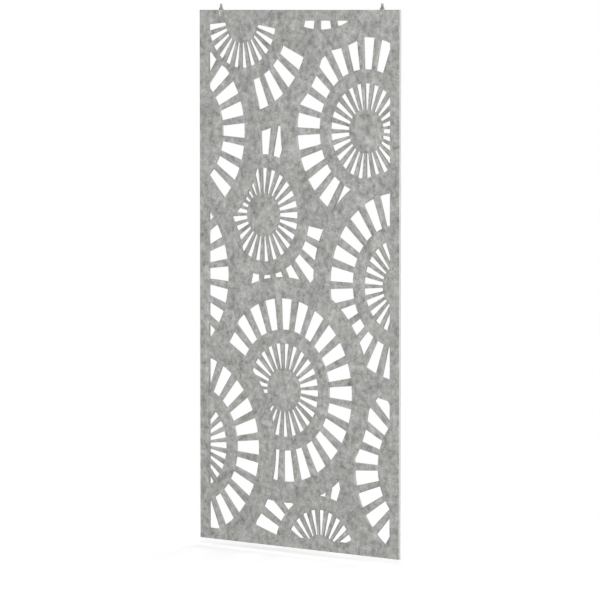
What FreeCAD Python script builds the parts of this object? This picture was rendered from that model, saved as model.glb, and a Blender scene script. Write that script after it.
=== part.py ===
import FreeCAD, Part
import math
import os
import re

import Sketcher

# A rigid felt board that hangs from two steel hangers on its top edge.
# The board stands in the XZ plane, its front faces -Y, and +Z is up.
# The origin lies midway between the two hanging eyes.

V = FreeCAD.Vector
doc = FreeCAD.newDocument("hanging_acoustic_panel")

# Driving dimensions, in millimetres, degrees and counts
SIZES = {
    # Felt board
    "board_width": 1200,
    "board_height": 2400,
    "board_thickness": 12,
    "side_margin": 55,
    "end_margin": 48,
    # Slotted wheel, the motif that repeats over the board
    "hub_radius": 97,
    "spoke_radius": 210,
    "rim_inner_radius": 271,
    "rim_outer_radius": 411,
    "wheel_radius": 506,
    "core_radius": 232,
    "slot_count": 25,
    "spoke_slot_angle": 8.4,
    "rim_slot_angle": 9.4,
    "wheel_turn": 1.15,
    "lower_hub_turn": -1,
    "least_cut_area": 488,
    "cut_overshoot": 4,
    # Wheel centres: distance right of the board's middle, and below its top edge
    "top_left_offset": -343,
    "top_left_drop": 50,
    "left_lower_offset": -646,
    "left_lower_drop": 1973,
    "left_middle_offset": -833,
    "left_middle_drop": 1198,
    "lower_offset": -87,
    "lower_drop": 1696,
    "right_middle_offset": 600,
    "right_middle_drop": 1205,
    "top_offset": 132,
    "top_drop": -324,
    "left_upper_offset": -733,
    "left_upper_drop": 549,
    "right_upper_offset": 403,
    "right_upper_drop": 530,
    "right_lower_offset": 747,
    "right_lower_drop": 2000,
    "upper_offset": -211,
    "upper_drop": 915,
    "bottom_offset": 132,
    "bottom_drop": 2427,
    # Leftover corners of slots that stay uncut
    "whole_beside_upper_offset": 72,
    "whole_beside_upper_drop": 923,
    "whole_below_upper_offset": -320,
    "whole_below_upper_drop": 1192,
    "whole_by_top_edge_offset": -185,
    "whole_by_top_edge_drop": 54,
    "whole_by_right_edge_offset": 538,
    "whole_by_right_edge_drop": 277,
    # Saddle that straddles the board's top edge
    "left_hanger_inset": 129,
    "right_hanger_inset": 105,
    "hanger_width": 20,
    "sheet_gauge": 1.5,
    "leg_length": 30,
    "leg_corner": 5,
    "ear_radius": 4,
    # Clamp screw and its barrel nut
    "clamp_drop": 16,
    "barrel_radius": 3,
    "barrel_clearance": 0.1,
    "barrel_gap": 0.3,
    "thread_radius": 2,
    "thread_clearance": 0.05,
    "thread_depth": 10,
    "screw_length": 8,
    "head_radius": 4.75,
    "head_height": 1.8,
    # Hinge pin
    "pin_rise": 6,
    "pin_radius": 2,
    "pin_clearance": 0.05,
    "pin_head_radius": 3.2,
    "pin_head_height": 1.2,
    # Lug with the hanging eye
    "eye_rise": 22,
    "eye_radius": 3,
    "eye_wall": 3,
    "lug_thickness": 4,
    "lug_knuckle_radius": 4,
    "lug_side_gap": 0.3,
}

sheet = doc.addObject("Spreadsheet::Sheet", "sizes")
for row, (alias, value) in enumerate(SIZES.items(), 1):
    sheet.set(f"A{row}", alias)
    sheet.set(f"B{row}", str(value))
    sheet.setAlias(f"B{row}", alias)
doc.recompute()


def on_sheet(formula):
    """The formula with every size named as a cell of the sheet."""
    return re.sub(r"[a-z_]+", lambda word: f"sizes.{word.group()}", formula)


def value_of(formula):
    """The formula's value at the sizes now in the sheet."""
    return float(sheet.evalExpression(on_sheet(formula)))


def bind(thing, **formulas):
    """Tie properties of a document object to formulas on the sheet."""
    for name, formula in formulas.items():
        thing.setExpression(name, on_sheet(formula))


def place(thing, offset="0", depth="0", height="0"):
    """Tie the position of a document object to formulas on the sheet."""
    for axis, formula in zip("xyz", (offset, depth, height)):
        thing.setExpression(f"Placement.Base.{axis}", on_sheet(formula))


# Places along the board, heights above the origin, and depths from the board's middle plane
HANGER_REACH = "(board_width - left_hanger_inset - right_hanger_inset) / 2"
HANGERS = {"left": f"-{HANGER_REACH}", "right": HANGER_REACH}
BOARD_MIDDLE = "(right_hanger_inset - left_hanger_inset) / 2"
TOP_EDGE = "-eye_rise"
PIN_AXIS = "pin_rise - eye_rise"
CLAMP_AXIS = "-eye_rise - clamp_drop"
LEG_FACE = "board_thickness / 2 + sheet_gauge"
CUT_DEPTH = "board_thickness + 2 * cut_overshoot"


# Sketch helpers

def new_sketch(body, name, plane):
    """A sketch on one of the body's own origin planes."""
    support = next(item for item in body.Origin.OriginFeatures if item.Role == plane)
    sketch = body.newObject("Sketcher::SketchObject", f"{body.Name}_{name}")
    sketch.AttachmentSupport = (support, [""])
    sketch.MapMode = "FlatFace"
    return sketch


def constrain(sketch, formula, kind, *references):
    """A dimension of the sketch that follows a formula on the sheet."""
    index = sketch.addConstraint(Sketcher.Constraint(kind, *references, value_of(formula)))
    sketch.setExpression(f"Constraints[{index}]", on_sheet(formula))


def pin_point(sketch, geometry, position, across, up):
    """Hold one point of the sketch at two formulas, measured from the origin."""
    constrain(sketch, across, "DistanceX", -1, 1, geometry, position)
    constrain(sketch, up, "DistanceY", -1, 1, geometry, position)


def closed_lines(sketch, corners):
    """Straight lines joined end to end round the corners."""
    lines = [
        sketch.addGeometry(Part.LineSegment(start, end))
        for start, end in zip(corners, corners[1:] + corners[:1])
    ]
    for line, following in zip(lines, lines[1:] + lines[:1]):
        sketch.addConstraint(Sketcher.Constraint("Coincident", line, 2, following, 1))
    return lines


def add_outline(sketch, points):
    """A closed outline of straight lines through points given as formulas."""
    lines = closed_lines(sketch, [V(value_of(across), value_of(up), 0) for across, up in points])
    for line, (across, up) in zip(lines, points):
        pin_point(sketch, line, 1, across, up)


def add_circle(sketch, across, up, radius):
    """A circle whose centre and radius are formulas."""
    centre = V(value_of(across), value_of(up), 0)
    circle = sketch.addGeometry(Part.Circle(centre, V(0, 0, 1), value_of(radius)))
    constrain(sketch, radius, "Radius", circle)
    pin_point(sketch, circle, 3, across, up)


def add_arch(sketch, half_base, rise, radius):
    """An outline on a straight base whose sides run on into a round top."""
    base, top, round_top = value_of(half_base), value_of(rise), value_of(radius)
    floor = sketch.addGeometry(Part.LineSegment(V(-base, 0, 0), V(base, 0, 0)))
    right = sketch.addGeometry(Part.LineSegment(V(base, 0, 0), V(round_top, top, 0)))
    crown = sketch.addGeometry(
        Part.Arc(V(round_top, top, 0), V(0, top + round_top, 0), V(-round_top, top, 0))
    )
    left = sketch.addGeometry(Part.LineSegment(V(-round_top, top, 0), V(-base, 0, 0)))
    sketch.addConstraint(Sketcher.Constraint("Coincident", floor, 2, right, 1))
    sketch.addConstraint(Sketcher.Constraint("Coincident", left, 2, floor, 1))
    sketch.addConstraint(Sketcher.Constraint("Tangent", right, 2, crown, 1))
    sketch.addConstraint(Sketcher.Constraint("Tangent", crown, 2, left, 1))
    pin_point(sketch, floor, 1, f"-({half_base})", "0")
    pin_point(sketch, floor, 2, half_base, "0")
    pin_point(sketch, crown, 3, "0", rise)
    constrain(sketch, radius, "Radius", crown)


def open_sides(sketch, angle, first, first_end, second, second_end):
    """Hold two sides of a slot on rays from the origin that are an angle apart."""
    for side in (first, second):
        sketch.addConstraint(Sketcher.Constraint("PointOnObject", -1, 1, side))
    opening = Sketcher.Constraint(
        "Angle", first, first_end, second, second_end, math.radians(value_of(angle))
    )
    index = sketch.addConstraint(opening)
    sketch.setExpression(f"Constraints[{index}]", f"{on_sheet(angle)} * 1 deg")


def add_wedge(sketch, inner_radius, outer_radius, angle):
    """A slot with radial sides and straight ends, centred on the first axis."""
    half = math.radians(value_of(angle)) / 2
    lower, upper = (V(math.cos(turn), math.sin(turn), 0) for turn in (-half, half))
    near, far = value_of(inner_radius), value_of(outer_radius)
    first, _, second, _ = closed_lines(
        sketch, [lower * near, lower * far, upper * far, upper * near]
    )
    open_sides(sketch, angle, first, 1, second, 2)
    sketch.addConstraint(Sketcher.Constraint("Symmetric", first, 2, second, 1, -1))
    constrain(sketch, outer_radius, "Distance", -1, 1, first, 2)
    constrain(sketch, inner_radius, "Distance", -1, 1, first, 1)
    constrain(sketch, inner_radius, "Distance", -1, 1, second, 2)


def add_sector(sketch, inner_radius, outer_radius, angle):
    """A slot between two arcs about the origin, with radial sides, centred on the first axis."""
    half = math.radians(value_of(angle)) / 2
    arcs = [
        sketch.addGeometry(Part.ArcOfCircle(Part.Circle(V(), V(0, 0, 1), value_of(radius)), -half, half))
        for radius in (inner_radius, outer_radius)
    ]
    inner, outer = (sketch.Geometry[arc] for arc in arcs)
    sides = [
        sketch.addGeometry(Part.LineSegment(inner.StartPoint, outer.StartPoint)),
        sketch.addGeometry(Part.LineSegment(inner.EndPoint, outer.EndPoint)),
    ]
    for end, side in enumerate(sides, 1):
        sketch.addConstraint(Sketcher.Constraint("Coincident", side, 1, arcs[0], end))
        sketch.addConstraint(Sketcher.Constraint("Coincident", side, 2, arcs[1], end))
    for arc, radius in zip(arcs, (inner_radius, outer_radius)):
        sketch.addConstraint(Sketcher.Constraint("Coincident", arc, 3, -1, 1))
        constrain(sketch, radius, "Radius", arc)
    sketch.addConstraint(Sketcher.Constraint("Symmetric", arcs[1], 1, arcs[1], 2, -1))
    open_sides(sketch, angle, sides[0], 1, sides[1], 1)


# Feature helpers

def pad(body, sketch, length):
    """Material on both sides of the sketch plane."""
    feature = body.newObject("PartDesign::Pad", f"{sketch.Name}_pad")
    feature.Profile = sketch
    feature.SideType = "Symmetric"
    bind(feature, Length=length)
    doc.recompute()
    return feature


def pocket(body, sketch, length):
    """A cut on both sides of the sketch plane, which has to remove material."""
    before = body.Shape.Volume
    feature = body.newObject("PartDesign::Pocket", f"{sketch.Name}_pocket")
    feature.Profile = sketch
    feature.SideType = "Symmetric"
    bind(feature, Length=length)
    doc.recompute()
    if body.Shape.Volume >= before:
        raise RuntimeError(f"{feature.Name} cut nothing")
    return feature


def revolve(body, sketch, axis):
    """A turned solid about one of the sketch's own axes."""
    feature = body.newObject("PartDesign::Revolution", f"{sketch.Name}_turned")
    feature.Profile = sketch
    feature.ReferenceAxis = (sketch, [axis])
    feature.Angle = 360
    doc.recompute()
    return feature


def round_edges(body, name, radius, wanted):
    """Round the edges of the body whose middle and direction pass the test."""
    base = body.Tip
    names = []
    for number, edge in enumerate(base.Shape.Edges, 1):
        span = edge.Vertexes[-1].Point - edge.Vertexes[0].Point
        if edge.Length > 0 and wanted(edge.CenterOfMass, span):
            names.append(f"Edge{number}")
    feature = body.newObject("PartDesign::Fillet", f"{body.Name}_{name}")
    feature.Base = (base, names)
    bind(feature, Radius=radius)
    doc.recompute()
    return feature


# Felt board

def slot_ring(name, add_slot, inner_radius, outer_radius, angle):
    """The cutting tool for one full ring of slots about the origin."""
    body = doc.addObject("PartDesign::Body", name)
    body.AllowCompound = True
    sketch = new_sketch(body, "slot", "XZ_Plane")
    add_slot(sketch, inner_radius, outer_radius, angle)
    slot = pad(body, sketch, CUT_DEPTH)
    ring = body.newObject("PartDesign::PolarPattern", f"{name}_pattern")
    ring.Originals = [slot]
    ring.Axis = (sketch, ["N_Axis"])
    ring.Angle = 360
    bind(ring, Occurrences="slot_count")
    body.Tip = ring
    doc.recompute()
    return body


def wheel_height(name):
    """How high a wheel's centre, or another spot on the board, lies."""
    return f"{TOP_EDGE} - {name}_drop"


def placed_ring(ring, name, turn):
    """One ring of slots, turned and set at its wheel's centre."""
    link = doc.addObject("App::Link", f"{name}_{ring.Name}")
    link.LinkedObject = ring
    link.Placement = FreeCAD.Placement(V(), FreeCAD.Rotation(V(0, -1, 0), value_of(turn)))
    place(link, offset=f"{BOARD_MIDDLE} + {name}_offset", height=wheel_height(name))
    link.setExpression("Placement.Rotation.Angle", on_sheet(turn))
    return link


def wheel_disc(name, radius):
    """The whole disc of a wheel, which hides the wheels behind it."""
    disc = doc.addObject("Part::Cylinder", f"{name}_{radius}_disc")
    disc.Placement = FreeCAD.Placement(V(), FreeCAD.Rotation(V(1, 0, 0), 90))
    bind(disc, Radius=radius, Height=CUT_DEPTH)
    place(disc, f"{BOARD_MIDDLE} + {name}_offset", f"({CUT_DEPTH}) / 2", wheel_height(name))
    return disc


def block(name, width, depth, height, top):
    """A box centred on the board's middle, hung from its top."""
    box = doc.addObject("Part::Box", name)
    bind(box, Length=width, Width=depth, Height=height)
    place(box, f"{BOARD_MIDDLE} - ({width}) / 2", f"-({depth}) / 2", f"{top} - ({height})")
    return box


def boolean(kind, name, base, tool):
    """One solid or set of solids combined with another."""
    result = doc.addObject(kind, name)
    result.Base = base
    result.Tool = tool
    return result


def clamp_hole(side):
    """The hole through the board for one hanger's barrel nut."""
    hole = doc.addObject("Part::Cylinder", f"{side}_clamp_hole")
    hole.Placement = FreeCAD.Placement(V(), FreeCAD.Rotation(V(1, 0, 0), 90))
    bind(hole, Radius="barrel_radius + barrel_clearance", Height=CUT_DEPTH)
    place(hole, HANGERS[side], f"({CUT_DEPTH}) / 2", CLAMP_AXIS)
    return hole


def make_board():
    """The felt board: every wheel's slots, less what the wheels in front of it hide."""
    hub_slots = slot_ring("hub_slots", add_wedge, "hub_radius", "spoke_radius", "spoke_slot_angle")
    rim_slots = slot_ring(
        "rim_slots", add_sector, "rim_inner_radius", "rim_outer_radius", "rim_slot_angle"
    )
    hub = (hub_slots, "wheel_turn")
    rim = (rim_slots, "wheel_turn")
    turned_hub = (hub_slots, "lower_hub_turn")

    # Wheels from the front of the overlap to the back, with the rings that show
    layers = [
        ("top_left", "core_radius", [hub]),
        ("left_lower", "wheel_radius", [hub, rim]),
        ("left_middle", "wheel_radius", [rim]),
        ("lower", "wheel_radius", [turned_hub, rim]),
        ("right_middle", "wheel_radius", [hub, rim]),
        ("top", "wheel_radius", [rim]),
        ("left_upper", "wheel_radius", [rim]),
        ("top_left", "wheel_radius", [rim]),
        ("right_upper", "wheel_radius", [hub, rim]),
        ("right_lower", "wheel_radius", [rim]),
        ("upper", "wheel_radius", [hub, rim]),
        ("bottom", "wheel_radius", [hub, rim]),
    ]
    # The board's plain border lies in front of every wheel
    slab = block(
        "border_slab",
        "board_width + 4 * wheel_radius",
        CUT_DEPTH,
        "board_height + 4 * wheel_radius",
        f"{TOP_EDGE} + 2 * wheel_radius",
    )
    window = block(
        "border_window",
        "board_width - 2 * side_margin",
        f"2 * ({CUT_DEPTH})",
        "board_height - 2 * end_margin",
        f"{TOP_EDGE} - end_margin",
    )
    cover = boolean("Part::Cut", "plain_border", slab, window)
    visible = []
    for name, radius, rings in layers:
        for ring, turn in rings:
            tool = placed_ring(ring, name, turn)
            visible.append(boolean("Part::Cut", f"{tool.Name}_shown", tool, cover))
        cover = boolean("Part::Fuse", f"cover_to_{name}_{radius}", cover, wheel_disc(name, radius))
    slots = doc.addObject("Part::Compound", "visible_slots")
    slots.Links = visible
    doc.recompute()

    # Leftover corners that are too small to cut, or that the maker left uncut, stay whole
    whole_spots = [
        V(value_of(f"{BOARD_MIDDLE} + {spot}_offset"), 0, value_of(wheel_height(spot)))
        for spot in ("whole_beside_upper", "whole_below_upper", "whole_by_top_edge", "whole_by_right_edge")
    ]
    least_volume = value_of(f"least_cut_area * ({CUT_DEPTH})")
    reach = value_of("cut_overshoot") / 2
    cells = [
        cell for cell in slots.Shape.Solids
        if cell.Volume >= least_volume
        and not any(cell.isInside(spot, reach, True) for spot in whole_spots)
    ]
    cut_outs = doc.addObject("Part::Feature", "cut_outs")
    cut_outs.Shape = Part.makeCompound(cells)

    board = block("plain_board", "board_width", "board_thickness", "board_height", TOP_EDGE)
    holes = doc.addObject("Part::Compound", "clamp_holes")
    holes.Links = [clamp_hole(side) for side in HANGERS]
    drilled = boolean("Part::Cut", "drilled_board", board, holes)
    panel = boolean("Part::Cut", "felt_panel", drilled, cut_outs)
    panel.Label = "felt_panel"
    doc.recompute()
    return panel


# Hangers, each built about the middle of the board's top edge where it sits

def new_body(side, piece, height):
    """A body at one hanger, with its origin at the given height."""
    body = doc.addObject("PartDesign::Body", f"{side}_{piece}")
    body.Label = f"{side}_{piece}"
    place(body, HANGERS[side], "0", height)
    return body


def make_saddle(side):
    """A folded strap with two legs down the board's faces and two ears up for the pin."""
    body = new_body(side, "saddle", TOP_EDGE)
    fold = new_sketch(body, "fold", "YZ_Plane")
    inner = "board_thickness / 2"
    add_outline(fold, [
        (f"-({LEG_FACE})", "-leg_length"),
        (f"-{inner}", "-leg_length"),
        (f"-{inner}", "0"),
        (inner, "0"),
        (inner, "-leg_length"),
        (LEG_FACE, "-leg_length"),
        (LEG_FACE, "sheet_gauge"),
        (f"-({LEG_FACE})", "sheet_gauge"),
    ])
    pad(body, fold, "hanger_width")
    ears = new_sketch(body, "ears", "YZ_Plane")
    add_arch(ears, "ear_radius", "pin_rise", "ear_radius")
    pad(body, ears, "hanger_width")
    channel = new_sketch(body, "channel", "XZ_Plane")
    inside = "hanger_width / 2 - sheet_gauge"
    add_outline(channel, [
        (f"-({inside})", "sheet_gauge"),
        (inside, "sheet_gauge"),
        (inside, "pin_rise + 2 * ear_radius"),
        (f"-({inside})", "pin_rise + 2 * ear_radius"),
    ])
    pocket(body, channel, "4 * ear_radius")
    pin_hole = new_sketch(body, "pin_hole", "YZ_Plane")
    add_circle(pin_hole, "0", "pin_rise", "pin_radius + pin_clearance")
    pocket(body, pin_hole, "2 * hanger_width")
    clamp_holes = new_sketch(body, "clamp_holes", "XZ_Plane")
    add_circle(clamp_holes, "0", "-clamp_drop", "barrel_radius + barrel_clearance")
    pocket(body, clamp_holes, f"4 * ({LEG_FACE})")

    face = value_of(LEG_FACE)
    fold_height = value_of("sheet_gauge")
    foot = -value_of("leg_length")
    half_width = value_of("hanger_width") / 2
    near = value_of("sheet_gauge") / 4

    def is_fold(middle, span):
        across = abs(abs(middle.y) - face) < near and abs(middle.z - fold_height) < near
        return across and abs(span.x) > half_width

    def is_foot_corner(middle, span):
        return abs(middle.z - foot) < near and abs(abs(middle.x) - half_width) < near

    round_edges(body, "folds", "sheet_gauge", is_fold)
    round_edges(body, "feet", "leg_corner", is_foot_corner)
    return body


def make_hinge_pin(side):
    """A headed pin through both ears, closed over at its far end."""
    body = new_body(side, "hinge_pin", PIN_AXIS)
    profile = new_sketch(body, "profile", "XY_Plane")
    face = "hanger_width / 2"
    end = "hanger_width / 2 + pin_head_height"
    add_outline(profile, [
        (f"-({end})", "0"),
        (f"-({end})", "pin_head_radius"),
        (f"-{face}", "pin_head_radius"),
        (f"-{face}", "pin_radius"),
        (face, "pin_radius"),
        (face, "pin_head_radius"),
        (end, "pin_head_radius"),
        (end, "0"),
    ])
    revolve(body, profile, "H_Axis")
    return body


def make_eye_lug(side):
    """A tapered plate with a knuckle on the pin and a hanging eye at its top."""
    body = new_body(side, "eye_lug", PIN_AXIS)
    knuckle_length = "hanger_width - 2 * sheet_gauge - 2 * lug_side_gap"
    plate = new_sketch(body, "plate", "XZ_Plane")
    add_arch(plate, f"({knuckle_length}) / 2", "eye_rise - pin_rise", "eye_radius + eye_wall")
    pad(body, plate, "lug_thickness")
    knuckle = new_sketch(body, "knuckle", "YZ_Plane")
    add_circle(knuckle, "0", "0", "lug_knuckle_radius")
    pad(body, knuckle, knuckle_length)
    bore = new_sketch(body, "bore", "YZ_Plane")
    add_circle(bore, "0", "0", "pin_radius + pin_clearance")
    pocket(body, bore, "2 * hanger_width")
    eye = new_sketch(body, "eye", "XZ_Plane")
    add_circle(eye, "0", "eye_rise - pin_rise", "eye_radius")
    pocket(body, eye, "2 * lug_thickness")
    return body


def make_barrel_nut(side):
    """A headed barrel from the front, with a blind threaded bore open at the back."""
    body = new_body(side, "barrel_nut", CLAMP_AXIS)
    profile = new_sketch(body, "profile", "XY_Plane")
    mouth = f"{LEG_FACE} - barrel_gap"
    add_outline(profile, [
        ("0", f"-({LEG_FACE} + head_height)"),
        ("head_radius", f"-({LEG_FACE} + head_height)"),
        ("head_radius", f"-({LEG_FACE})"),
        ("barrel_radius", f"-({LEG_FACE})"),
        ("barrel_radius", mouth),
        ("thread_radius", mouth),
        ("thread_radius", f"{mouth} - thread_depth"),
        ("0", f"{mouth} - thread_depth"),
    ])
    revolve(body, profile, "V_Axis")
    return body


def make_clamp_screw(side):
    """A screw from the back, which draws the legs onto the board."""
    body = new_body(side, "clamp_screw", CLAMP_AXIS)
    profile = new_sketch(body, "profile", "XY_Plane")
    shank = "thread_radius - thread_clearance"
    add_outline(profile, [
        ("0", f"{LEG_FACE} + head_height"),
        ("head_radius", f"{LEG_FACE} + head_height"),
        ("head_radius", LEG_FACE),
        (shank, LEG_FACE),
        (shank, f"{LEG_FACE} - screw_length"),
        ("0", f"{LEG_FACE} - screw_length"),
    ])
    revolve(body, profile, "V_Axis")
    return body


pieces = [make_board()]
for side in HANGERS:
    pieces += [
        make_saddle(side),
        make_hinge_pin(side),
        make_eye_lug(side),
        make_barrel_nut(side),
        make_clamp_screw(side),
    ]
doc.recompute()

# Every object has to be sound before anything is written
for thing in doc.Objects:
    if {"Invalid", "Error"} & set(thing.State):
        raise RuntimeError(f"{thing.Name} failed: {thing.State}")
for piece in pieces:
    if piece.Shape.isNull() or not piece.Shape.isValid():
        raise RuntimeError(f"{piece.Label} has no sound shape")

os.makedirs("parts", exist_ok=True)
for piece in pieces:
    piece.Shape.exportStep(f"parts/{piece.Label}.step")
    box = piece.Shape.BoundBox
    print(piece.Label, len(piece.Shape.Solids), "solids", round(piece.Shape.Volume), "mm3", box)
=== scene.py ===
import math

import bmesh
import bpy
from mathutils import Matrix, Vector


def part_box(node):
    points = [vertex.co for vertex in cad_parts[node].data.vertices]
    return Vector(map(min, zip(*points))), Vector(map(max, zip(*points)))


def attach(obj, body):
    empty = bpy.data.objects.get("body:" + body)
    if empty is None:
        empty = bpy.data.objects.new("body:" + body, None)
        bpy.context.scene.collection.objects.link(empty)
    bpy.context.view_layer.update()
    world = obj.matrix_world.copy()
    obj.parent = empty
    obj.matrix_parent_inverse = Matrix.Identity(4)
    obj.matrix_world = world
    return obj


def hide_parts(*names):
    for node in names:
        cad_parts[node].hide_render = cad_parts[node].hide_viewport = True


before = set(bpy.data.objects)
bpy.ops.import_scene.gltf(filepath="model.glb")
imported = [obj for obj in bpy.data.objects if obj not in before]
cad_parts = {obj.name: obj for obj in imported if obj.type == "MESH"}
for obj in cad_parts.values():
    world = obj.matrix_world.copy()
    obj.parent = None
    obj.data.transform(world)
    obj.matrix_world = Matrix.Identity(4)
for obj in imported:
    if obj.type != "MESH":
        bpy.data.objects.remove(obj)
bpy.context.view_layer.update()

# A felt board with a cut-out ornament, hung from two steel hangers on its top edge.
# Everything is in metres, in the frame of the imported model: the board stands in the
# XZ plane, its front faces -Y, and the origin lies midway between the hanging eyes.


def middle_of(node):
    """The middle of a CAD node."""
    low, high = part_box(node)
    return (low + high) / 2


# Directions
FRONT = Vector((0.0, -1.0, 0.0))
BACK = Vector((0.0, 1.0, 0.0))
RIGHT = Vector((1.0, 0.0, 0.0))

# Viewpoint: front right, level with the board's top edge
VIEW_ANGLE = math.radians(42.42)
VIEW_DISTANCE = 18.91
VIEW_HEIGHT = -0.021
VIEW_REACH = 200.0
AIM_ASIDE = 0.0072
AIM_HEIGHT = -1.3106
LENS = 255.5
SENSOR_WIDTH = 36.0

# Felt board: sizes in metres, fineness in waves per metre, turns in radians
BOARD_MIDDLE = middle_of("felt_panel")
BOARD_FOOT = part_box("felt_panel")[0].z
FELT_EDGE = 0.0006
CLOUD_FINENESS = 13.0
DRIFT_FINENESS = 38.0
CLUMP_FINENESS = 110.0
GRAIN_FINENESS = 900.0
TINT_FINENESS = 7.0
GREY_MAT = (0.369, 0.369, 0.362, 1.0)
WARM_MAT = (0.367, 0.368, 0.345, 1.0)
CURL_FINENESS = 50.0
CURL_REACH = 0.010
FIBRE_FINENESS = 2200.0
FIBRE_STRETCH = (30.0, 1.0, 1.0)
PALE_FIBRE = (0.66, 0.66, 0.640, 1.0)
DARK_FIBRE = (0.13, 0.13, 0.124, 1.0)
FIBRES = (
    (0.25, DARK_FIBRE), (1.35, PALE_FIBRE), (2.30, DARK_FIBRE),
    (0.80, PALE_FIBRE), (1.85, DARK_FIBRE), (2.85, PALE_FIBRE),
)
TUFT_FINENESS = 330.0
TUFT_STRETCH = (5.0, 1.0, 1.0)
TUFT_TURNS = (0.55, 1.60, 2.65)
LAYER_FINENESS = 1700.0
LAYER_STRETCH = (6.0, 1.0, 6.0)
DARK_CUT = (0.26, 0.26, 0.249, 1.0)
PALE_CUT = (0.54, 0.54, 0.520, 1.0)

# Hangers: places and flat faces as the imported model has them
SIDES = ("left", "right")
HANGER_PLACES = {side: middle_of(f"{side}_saddle").x for side in SIDES}
HANGER_OFFSET = HANGER_PLACES["right"]
SADDLE_LOW, SADDLE_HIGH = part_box("right_saddle")
HALF_WIDTH = (SADDLE_HIGH.x - SADDLE_LOW.x) / 2
LEG_FACE = SADDLE_HIGH.y
PIN_HEIGHT = middle_of("right_hinge_pin").z
CLAMP_HEIGHT = middle_of("right_clamp_screw").z
STRAP_EDGE = 0.0003
LUG_EDGE = 0.0005

# Fasteners of the hangers
BARREL_RADIUS = 0.003
BARREL_WALL = 0.001
BARREL_MOUTH = 0.0072
THREAD_RADIUS = 0.00195
THREAD_DEPTH = 0.010
SCREW_LENGTH = 0.008
HEAD_RADIUS = 0.00475
HEAD_HEIGHT = 0.0018
HEAD_EDGE = 0.0006
KEY_RADIUS = 0.0023
KEY_DEPTH = 0.0011
PIN_RADIUS = 0.002
PIN_HEAD_RADIUS = 0.0032
PIN_HEAD_HEIGHT = 0.0012
PIN_HEAD_EDGE = 0.0008

# Steel: dark and light tones of the coat, then the tone of rubbed edges, or on fasteners the painted
# shade of key sockets
STRAP_TONES = ((0.25, 0.25, 0.246, 1.0), (0.36, 0.36, 0.356, 1.0), (0.46, 0.46, 0.45, 1.0))
LUG_TONES = ((0.17, 0.17, 0.168, 1.0), (0.27, 0.27, 0.267, 1.0), (0.42, 0.42, 0.41, 1.0))
FASTENER_TONES = ((0.42, 0.42, 0.415, 1.0), (0.58, 0.58, 0.57, 1.0), (0.12, 0.12, 0.115, 1.0))
BRUSH_TURN = math.pi / 2
BRUSH_STRETCH = (18.0, 1.0, 1.0)
BRUSH_FINENESS = 5200.0
COAT_FINENESS = 240.0
WEAR_FINENESS = 1900.0
PLATE_FINENESS = 420.0
LATHE_FINENESS = 2600.0

# Modelling
MERGE_DISTANCE = 0.000005
FLAT_ANGLE = math.radians(0.5)
SMOOTH_ANGLE = math.radians(35)
SHARP_ANGLE = math.radians(40)
ALIGNED = 0.9

# Studio
FLOOR_GAP = 0.030
FLOOR_HEIGHT = BOARD_FOOT - FLOOR_GAP
FLOOR_SPAN = 160.0
FLOOR_PALE = (0.8, 0.8, 0.8, 1.0)
FLOOR_SHADED = (0.70, 0.70, 0.70, 1.0)
FLOOR_GLOW = (0.36, 0.36, 0.36, 1.0)
SHADOW_REACH = 2.2
SHADOW_CORE = 0.45
WHITE = (1.0, 1.0, 1.0, 1.0)
SKY_LIGHT = 0.35
# Name, place, size and power of each soft lamp
LAMPS = (
    ("key", (5.2, -6.8, 2.2), 3.5, 325.0),
    ("side", (7.0, -0.25, 0.2), 2.0, 400.0),
    ("fill", (-6.5, -2.8, 0.8), 3.5, 150.0),
    ("rear", (-1.5, 6.0, 1.6), 3.5, 220.0),
)


# Shader maths

class Value:
    """A shader socket that takes part in sums as a number does."""

    def __init__(self, finish, socket):
        self.finish = finish
        self.socket = socket

    def maths(self, operation, first, second):
        return self.finish.node("ShaderNodeMath", {"operation": operation}, {0: first, 1: second})

    def __add__(self, other):
        return self.maths("ADD", self, other)

    def __radd__(self, other):
        return self.maths("ADD", other, self)

    def __sub__(self, other):
        return self.maths("SUBTRACT", self, other)

    def __rsub__(self, other):
        return self.maths("SUBTRACT", other, self)

    def __mul__(self, other):
        return self.maths("MULTIPLY", self, other)

    def __rmul__(self, other):
        return self.maths("MULTIPLY", other, self)

    def __abs__(self):
        return self.maths("ABSOLUTE", self, 0.0)


def swayed(level, *sways):
    """The level, moved up and down by each noise times its weight; a noise lies about a half."""
    total = level - sum(weight for _, weight in sways) / 2
    for noise, weight in sways:
        total = total + noise * weight
    return total


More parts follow.
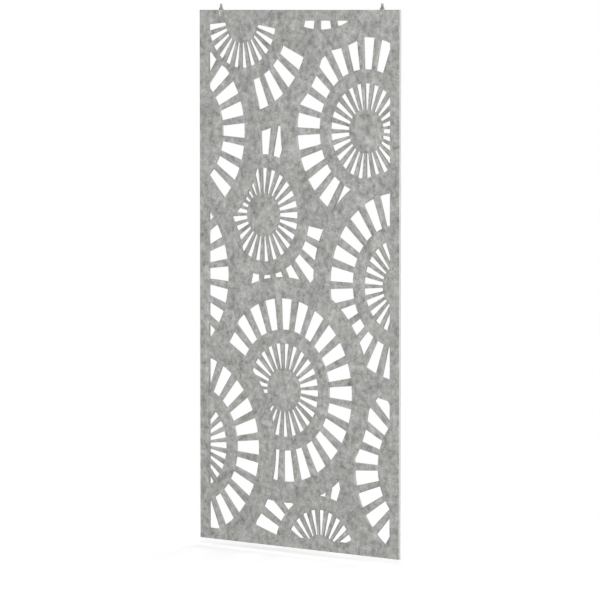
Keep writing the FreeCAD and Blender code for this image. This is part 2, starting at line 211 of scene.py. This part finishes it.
class Finish:
    """The nodes of one material, or of the world, made one at a time."""

    def __init__(self, owner):
        owner.use_nodes = True
        self.owner = owner
        self.tree = owner.node_tree

    def node(self, kind, settings=None, inputs=None, output=0):
        """Makes a node, sets it up, feeds its sockets and gives one of its outputs."""
        made = self.tree.nodes.new(kind)
        for name, setting in (settings or {}).items():
            if name == "stops":
                self.set_stops(made.color_ramp.elements, setting)
            else:
                setattr(made, name, setting)
        for key, given in (inputs or {}).items():
            self.feed(made.inputs[key], given)
        return Value(self, made.outputs[output])

    def set_stops(self, elements, stops):
        """Sets a ramp's two stops, each a position and a level of grey."""
        for element, (position, level) in zip(elements, stops):
            element.position = position
            element.color = (level, level, level, 1.0)

    def feed(self, socket, given):
        """Links a value to a socket, or sets a plain number or colour on it."""
        if isinstance(given, Value):
            self.tree.links.new(given.socket, socket)
        else:
            socket.default_value = given

    def ramp(self, source, *stops):
        return self.node("ShaderNodeValToRGB", {"stops": stops}, {0: source})

    def mix(self, share, first, second):
        """A colour between two others."""
        settings = {"data_type": "RGBA", "blend_type": "MIX"}
        return self.node("ShaderNodeMix", settings, {0: share, 6: first, 7: second}, 2)

    def scaled(self, colour, share):
        """A colour made lighter or darker."""
        return self.node("ShaderNodeVectorMath", {"operation": "SCALE"}, {0: colour, "Scale": share})

    def places(self):
        return self.node("ShaderNodeTexCoord", output="Object")

    def along(self, places, axis):
        """How far the places lie along X, Y or Z."""
        return self.node("ShaderNodeSeparateXYZ", {}, {0: places}, axis)

    def turned(self, places, turn, stretch):
        """The places turned about the board's depth and stretched along each axis."""
        inputs = {"Vector": places, "Rotation": (0.0, turn, 0.0), "Scale": stretch}
        return self.node("ShaderNodeMapping", {"vector_type": "TEXTURE"}, inputs)

    def bent(self, places, fineness, reach):
        """The places pushed about by soft noise, so that straight strands curl."""
        inputs = {"Vector": places, "Scale": fineness, "Detail": 1.0}
        push = self.node("ShaderNodeTexNoise", {}, inputs, "Color")
        inputs = {0: push, 1: (reach, reach, reach), 2: places}
        return self.node("ShaderNodeVectorMath", {"operation": "MULTIPLY_ADD"}, inputs)

    def noise(self, places, fineness, detail=2.0, roughness=0.5):
        inputs = {"Vector": places, "Scale": fineness, "Detail": detail, "Roughness": roughness}
        return self.node("ShaderNodeTexNoise", {}, inputs)

    def principled(self, **inputs):
        """Feeds the material's own shader; underscores in a name stand for spaces."""
        shader = self.tree.nodes["Principled BSDF"]
        for name, given in inputs.items():
            self.feed(shader.inputs[name.replace("_", " ")], given)

    def bump(self, height, strength, distance):
        inputs = {"Strength": strength, "Distance": distance, "Height": height}
        return self.node("ShaderNodeBump", {}, inputs)


# Finishes

def heather_felt():
    """Pressed grey felt: fibres lying all ways, marbled lighter and darker, and layered cut walls."""
    felt = Finish(bpy.data.materials.new("heather_felt"))
    places = felt.places()
    clouds = felt.noise(places, CLOUD_FINENESS)
    drifts = felt.noise(places, DRIFT_FINENESS, detail=3.0, roughness=0.6)
    clumps = felt.noise(places, CLUMP_FINENESS, detail=3.0, roughness=0.65)
    grain = felt.noise(places, GRAIN_FINENESS, roughness=0.6)
    warmth = felt.ramp(felt.noise(places, TINT_FINENESS), (0.42, 0.0), (0.58, 1.0))
    mat = felt.mix(warmth, GREY_MAT, WARM_MAT)

    # Curled fibres in several directions, laid over each other
    bent = felt.bent(places, CURL_FINENESS, CURL_REACH)
    nap = clumps * 0.5 + grain * 0.4
    for turn, fibre in FIBRES:
        strands = felt.noise(felt.turned(bent, turn, FIBRE_STRETCH), FIBRE_FINENESS, detail=1.0)
        shown = felt.ramp(strands, (0.555, 0.0), (0.68, 0.52))
        mat = felt.mix(shown, mat, fibre)
        nap = nap + shown * 0.6

    # Lighter and darker marbling
    mottles = [(clouds, 0.75), (drifts, 1.50), (clumps, 0.75), (grain, 0.30)]
    for turn in TUFT_TURNS:
        tufts = felt.turned(bent, turn, TUFT_STRETCH)
        mottles.append((felt.noise(tufts, TUFT_FINENESS, detail=3.0, roughness=0.6), 0.60))
    face = felt.scaled(mat, swayed(1.0, *mottles))

    # Cut walls, which turn away from the board's depth and show its pressed layers
    facing = felt.node("ShaderNodeNewGeometry", output="Normal")
    wall = felt.ramp(abs(felt.along(facing, "Y")), (0.45, 1.0), (0.85, 0.0))
    layered = felt.turned(bent, 0.0, LAYER_STRETCH)
    layers = felt.noise(layered, LAYER_FINENESS, detail=3.0, roughness=0.65)
    cut = felt.mix(swayed(0.5, (layers, 1.5), (clumps, 0.5), (grain, 1.0)), DARK_CUT, PALE_CUT)

    felt.principled(
        Base_Color=felt.mix(wall, face, cut),
        Roughness=0.86 + grain * 0.12,
        Specular_IOR_Level=0.18,
        Sheen_Weight=0.12,
        Sheen_Roughness=0.6,
        Normal=felt.bump(nap + layers * wall, strength=0.35, distance=0.0009),
    )
    return felt.owner


def brushed_steel(name, dark, light, worn):
    """A satin coat on steel, with fine brush lines and edges rubbed brighter."""
    steel = Finish(bpy.data.materials.new(name))
    places = steel.places()
    brushed = steel.turned(places, BRUSH_TURN, BRUSH_STRETCH)
    lines = steel.noise(brushed, BRUSH_FINENESS, roughness=0.55)
    bloom = steel.noise(places, COAT_FINENESS, detail=3.0, roughness=0.55)
    specks = steel.noise(places, WEAR_FINENESS, roughness=0.6)
    shade = steel.ramp(lines * 0.5 + bloom * 0.5, (0.34, 0.0), (0.66, 1.0))
    coat = steel.mix(shade, dark, light)

    # Specks of wear along both edges of a strap or lug
    from_middle = abs(abs(steel.along(places, "X")) - HANGER_OFFSET)
    rim = steel.ramp(from_middle * (1 / HALF_WIDTH), (0.90, 0.0), (0.99, 1.0))
    rubbed = rim * steel.ramp(specks, (0.38, 0.0), (0.62, 0.8))
    steel.principled(
        Base_Color=steel.mix(rubbed, coat, worn),
        Metallic=1.0,
        Roughness=0.30 + bloom * 0.20 + lines * 0.08 - rubbed * 0.06,
        Normal=steel.bump(lines, strength=0.12, distance=0.00012),
    )
    return steel.owner


def turned_steel(name, dark, light, painted_socket_shade):
    """Bright zinc on turned fasteners, with faint marks from the lathe, and key sockets made rougher
    and darkened with painted shade.
    """
    steel = Finish(bpy.data.materials.new(name))
    places = steel.places()
    bloom = steel.noise(places, PLATE_FINENESS, detail=3.0, roughness=0.6)
    marks = steel.noise(places, LATHE_FINENESS, detail=3.0, roughness=0.65)
    shade = steel.ramp(bloom * 0.6 + marks * 0.4, (0.36, 0.0), (0.64, 1.0))
    plate = steel.mix(shade, dark, light)

    # A key socket lies near its screw's axis and below the face of the head; its darker colour there
    # is painted shade, its higher roughness dulled plating
    aside = abs(steel.along(places, "X")) - HANGER_OFFSET
    rise = steel.along(places, "Z") - CLAMP_HEIGHT
    from_axis = (aside * aside + rise * rise) * (0.5 / KEY_RADIUS ** 2)
    from_plane = abs(steel.along(places, "Y")) * (0.5 / (LEG_FACE + HEAD_HEIGHT))
    within = steel.ramp(from_axis, (0.49, 1.0), (0.53, 0.0))
    below = steel.ramp(from_plane, (0.47, 0.8), (0.495, 0.0))
    socket_shade_and_dullness = within * below
    steel.principled(
        # The socket's darker colour is painted shade
        Base_Color=steel.mix(socket_shade_and_dullness, plate, painted_socket_shade),
        Metallic=1.0,
        Roughness=0.22 + marks * 0.22 + socket_shade_and_dullness * 0.30,
        Normal=steel.bump(marks, strength=0.10, distance=0.00008),
    )
    return steel.owner


# Modelling

def pick(piece):
    """Makes the piece the only thing selected."""
    bpy.ops.object.select_all(action="DESELECT")
    piece.select_set(True)
    bpy.context.view_layer.objects.active = piece


def edit(piece):
    pick(piece)
    bpy.ops.object.mode_set(mode="EDIT")


def done():
    bpy.ops.object.mode_set(mode="OBJECT")


def select_faces(piece, wanted):
    """Selects the faces whose middle and normal are wanted, in edit mode."""
    bpy.ops.mesh.select_mode(type="FACE")
    bpy.ops.mesh.select_all(action="DESELECT")
    mesh = bmesh.from_edit_mesh(piece.data)
    for face in mesh.faces:
        face.select_set(wanted(face.calc_center_median(), face.normal))
    bmesh.update_edit_mesh(piece.data)


def select_edges(piece, wanted):
    """Selects the edges whose two ends are wanted, in edit mode."""
    bpy.ops.mesh.select_mode(type="EDGE")
    bpy.ops.mesh.select_all(action="DESELECT")
    mesh = bmesh.from_edit_mesh(piece.data)
    for edge in mesh.edges:
        edge.select_set(all(wanted(end.co) for end in edge.verts))
    bmesh.update_edit_mesh(piece.data)


def extrude(shift):
    bpy.ops.mesh.extrude_region_move(TRANSFORM_OT_translate={"value": shift})


def apply(piece, modifier):
    pick(piece)
    bpy.ops.object.modifier_apply(modifier=modifier.name)


def smooth(piece):
    pick(piece)
    bpy.ops.object.shade_smooth_by_angle(angle=SMOOTH_ANGLE)


def soften(piece, width, segments):
    """Rounds the sharp edges of a piece and shades it smooth."""
    rounding = piece.modifiers.new("rounding", "BEVEL")
    rounding.width = width
    rounding.segments = segments
    rounding.limit_method = "ANGLE"
    rounding.angle_limit = SHARP_ANGLE
    rounding.harden_normals = True
    rounding.use_clamp_overlap = False
    smooth(piece)
    apply(piece, rounding)


def copy_of(node, name):
    """A merged copy of a CAD node by itself, with its flat faces made whole."""
    pick(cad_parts[node])
    bpy.ops.object.duplicate()
    piece = bpy.context.view_layer.objects.active
    piece.name = name
    piece.parent = None
    piece.data.materials.clear()
    for key in list(piece.keys()):
        del piece[key]
    edit(piece)
    bpy.ops.mesh.select_all(action="SELECT")
    bpy.ops.mesh.remove_doubles(threshold=MERGE_DISTANCE)
    bpy.ops.mesh.dissolve_limited(angle_limit=FLAT_ANGLE)
    done()
    return piece


def rod(name, radius, start, end, sides=48):
    """A bar between two points that lie on one axis, with its place in its mesh."""
    run = end - start
    turn = run.to_track_quat("Z", "Y").to_euler()
    bpy.ops.object.select_all(action="DESELECT")
    bpy.ops.mesh.primitive_cylinder_add(
        vertices=sides, radius=radius, depth=run.length, location=(start + end) / 2, rotation=turn)
    piece = bpy.context.active_object
    piece.name = name
    bpy.ops.object.transform_apply(location=True, rotation=True, scale=True)
    return piece


def upset_head(piece, end, way, radius, head_radius, height, rounding):
    """Spreads the bar's end into a round head and rounds the head's rim."""
    def is_end(middle, normal):
        return normal.dot(way) > ALIGNED and (middle - end).length < radius / 2

    edit(piece)
    select_faces(piece, is_end)
    spread = head_radius / radius
    factors = [1.0 if part else spread for part in way]
    extrude((0, 0, 0))
    bpy.ops.transform.resize(value=factors, center_override=end)
    extrude(way * height)
    top = end + way * height
    select_edges(piece, lambda corner: abs((corner - top).dot(way)) < height / 20)
    bpy.ops.mesh.bevel(offset=rounding, segments=4, affect="EDGES")
    done()


def hex_recess(piece, face_middle, way):
    """Sinks a six-sided key socket into a head."""
    sink = way * KEY_DEPTH
    key = rod("key", KEY_RADIUS, face_middle - sink, face_middle + sink, sides=6)
    cut = piece.modifiers.new("socket", "BOOLEAN")
    cut.operation = "DIFFERENCE"
    cut.solver = "EXACT"
    cut.object = key
    apply(piece, cut)
    bpy.data.objects.remove(key)


def fit(piece, node, body, material):
    """Gives a finished piece its body and its material, and hides the CAD node it takes the place of.
    """
    piece.data.materials.clear()
    piece.data.materials.append(material)
    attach(piece, body)
    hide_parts(node)


def felt_board():
    """The cut board, with every outline eased a little on both of its faces."""
    board = copy_of("felt_panel", "felt_board")
    edit(board)
    for way in (FRONT, BACK):
        select_faces(board, lambda middle, normal, way=way: normal.dot(way) > ALIGNED)
        bpy.ops.transform.translate(value=way * -FELT_EDGE)
        bpy.ops.mesh.inset(thickness=FELT_EDGE, depth=FELT_EDGE)
    done()
    smooth(board)
    return board


def saddle(side):
    """The folded strap, with its edges broken."""
    strap = copy_of(f"{side}_saddle", f"{side}_strap_saddle")
    soften(strap, STRAP_EDGE, segments=2)
    return strap


def eye_lug(side):
    """The tapered lug, with its edges rounded."""
    lug = copy_of(f"{side}_eye_lug", f"{side}_hanging_lug")
    soften(lug, LUG_EDGE, segments=3)
    return lug


def hinge_pin(side):
    """A bar with a domed head set on each end."""
    middle = Vector((HANGER_PLACES[side], 0.0, PIN_HEIGHT))
    ends = [middle - RIGHT * HALF_WIDTH, middle + RIGHT * HALF_WIDTH]
    pin = rod(f"{side}_riveted_pin", PIN_RADIUS, *ends)
    for end, outwards in zip(ends, (-RIGHT, RIGHT)):
        upset_head(pin, end, outwards, PIN_RADIUS, PIN_HEAD_RADIUS, PIN_HEAD_HEIGHT, PIN_HEAD_EDGE)
    smooth(pin)
    return pin


def barrel_nut(side):
    """A headed barrel with a key socket in front and a blind bore behind."""
    axis = Vector((HANGER_PLACES[side], 0.0, CLAMP_HEIGHT))
    mouth = axis + BACK * BARREL_MOUTH
    shoulder = axis + FRONT * LEG_FACE
    nut = rod(f"{side}_key_nut", BARREL_RADIUS, mouth, shoulder)
    edit(nut)
    select_faces(nut, lambda middle, normal: normal.dot(BACK) > ALIGNED)
    bpy.ops.mesh.inset(thickness=BARREL_WALL)
    extrude(FRONT * THREAD_DEPTH)
    done()
    upset_head(nut, shoulder, FRONT, BARREL_RADIUS, HEAD_RADIUS, HEAD_HEIGHT, HEAD_EDGE)
    hex_recess(nut, shoulder + FRONT * HEAD_HEIGHT, FRONT)
    smooth(nut)
    return nut


def clamp_screw(side):
    """A screw from the back with the same head."""
    axis = Vector((HANGER_PLACES[side], 0.0, CLAMP_HEIGHT))
    shoulder = axis + BACK * LEG_FACE
    tip = shoulder + FRONT * SCREW_LENGTH
    screw = rod(f"{side}_key_screw", THREAD_RADIUS, tip, shoulder)
    upset_head(screw, shoulder, BACK, THREAD_RADIUS, HEAD_RADIUS, HEAD_HEIGHT, HEAD_EDGE)
    hex_recess(screw, shoulder + BACK * HEAD_HEIGHT, BACK)
    smooth(screw)
    return screw


# Studio

def white_to_the_eye(finish):
    """One for rays that show the background, seen directly or in a shiny surface."""
    seen, mirrored, passed = (
        finish.node("ShaderNodeLightPath", output=ray)
        for ray in ("Is Camera Ray", "Is Glossy Ray", "Is Transmission Ray")
    )
    return finish.node("ShaderNodeClamp", {}, {0: seen + mirrored + passed})


def floor():
    """A pale floor that looks white and keeps a light shadow under the board."""
    bpy.ops.object.select_all(action="DESELECT")
    bpy.ops.mesh.primitive_plane_add(size=FLOOR_SPAN, location=(0, 0, FLOOR_HEIGHT))
    ground = bpy.context.active_object
    ground.name = "studio_floor"
    paper = Finish(bpy.data.materials.new("white_paper"))
    reach = paper.node("ShaderNodeVectorMath", {"operation": "LENGTH"}, {0: paper.places()}, "Value")
    far = paper.ramp(reach * (1 / SHADOW_REACH), (SHADOW_CORE, 0.0), (1.0, 1.0))
    pale = paper.node("ShaderNodeBsdfDiffuse", {}, {"Color": FLOOR_PALE})
    shaded = paper.node("ShaderNodeBsdfDiffuse", {}, {"Color": FLOOR_SHADED})
    glow = paper.node("ShaderNodeEmission", {}, {"Color": FLOOR_GLOW})
    white = paper.node("ShaderNodeEmission", {}, {"Color": WHITE})
    near = paper.node("ShaderNodeAddShader", {}, {0: glow, 1: shaded})
    shown = paper.node("ShaderNodeMixShader", {}, {0: far, 1: near, 2: white})
    surface = paper.node("ShaderNodeMixShader", {}, {0: white_to_the_eye(paper), 1: pale, 2: shown})
    paper.feed(paper.tree.nodes["Material Output"].inputs["Surface"], surface)
    ground.data.materials.append(paper.owner)


def sky():
    """Soft light from all round, white where it is seen."""
    world = bpy.data.worlds.new("studio")
    bpy.context.scene.world = world
    air = Finish(world)
    backdrop = air.tree.nodes["Background"]
    air.feed(backdrop.inputs["Color"], WHITE)
    air.feed(backdrop.inputs["Strength"], SKY_LIGHT + white_to_the_eye(air) * (1 - SKY_LIGHT))


def softbox(name, place, size, power):
    """A square lamp aimed at the middle of the board."""
    lamp = bpy.data.lights.new(name, "AREA")
    lamp.size = size
    lamp.energy = power
    holder = bpy.data.objects.new(name, lamp)
    holder.location = place
    holder.rotation_euler = (BOARD_MIDDLE - Vector(place)).to_track_quat("-Z", "Y").to_euler()
    bpy.context.scene.collection.objects.link(holder)


def camera():
    """The viewpoint, set by its angle about the middle of the board."""
    across = Vector((math.cos(VIEW_ANGLE), math.sin(VIEW_ANGLE), 0.0))
    back = Vector((math.sin(VIEW_ANGLE), -math.cos(VIEW_ANGLE), 0.0))
    place = back * VIEW_DISTANCE + Vector((BOARD_MIDDLE.x, 0.0, VIEW_HEIGHT))
    aim = across * AIM_ASIDE + Vector((BOARD_MIDDLE.x, 0.0, AIM_HEIGHT))
    lens = bpy.data.cameras.new("viewpoint")
    lens.lens = LENS
    lens.sensor_width = SENSOR_WIDTH
    lens.clip_end = VIEW_REACH
    eye = bpy.data.objects.new("viewpoint", lens)
    eye.location = place
    eye.rotation_euler = (aim - place).to_track_quat("-Z", "Y").to_euler()
    bpy.context.scene.collection.objects.link(eye)
    bpy.context.scene.camera = eye


# The object

felt = heather_felt()
strap_zinc = brushed_steel("strap_zinc", *STRAP_TONES)
lug_phosphate = brushed_steel("lug_phosphate", *LUG_TONES)
fastener_zinc = turned_steel("fastener_zinc", *FASTENER_TONES)

fit(felt_board(), "felt_panel", "panel", felt)
for side in SIDES:
    fit(saddle(side), f"{side}_saddle", "panel", strap_zinc)
    fit(eye_lug(side), f"{side}_eye_lug", f"{side}_lug", lug_phosphate)
    fit(hinge_pin(side), f"{side}_hinge_pin", "panel", fastener_zinc)
    fit(barrel_nut(side), f"{side}_barrel_nut", "panel", fastener_zinc)
    fit(clamp_screw(side), f"{side}_clamp_screw", "panel", fastener_zinc)

# The studio

floor()
sky()
for lamp in LAMPS:
    softbox(*lamp)
camera()
bpy.context.scene.view_settings.view_transform = "Standard"
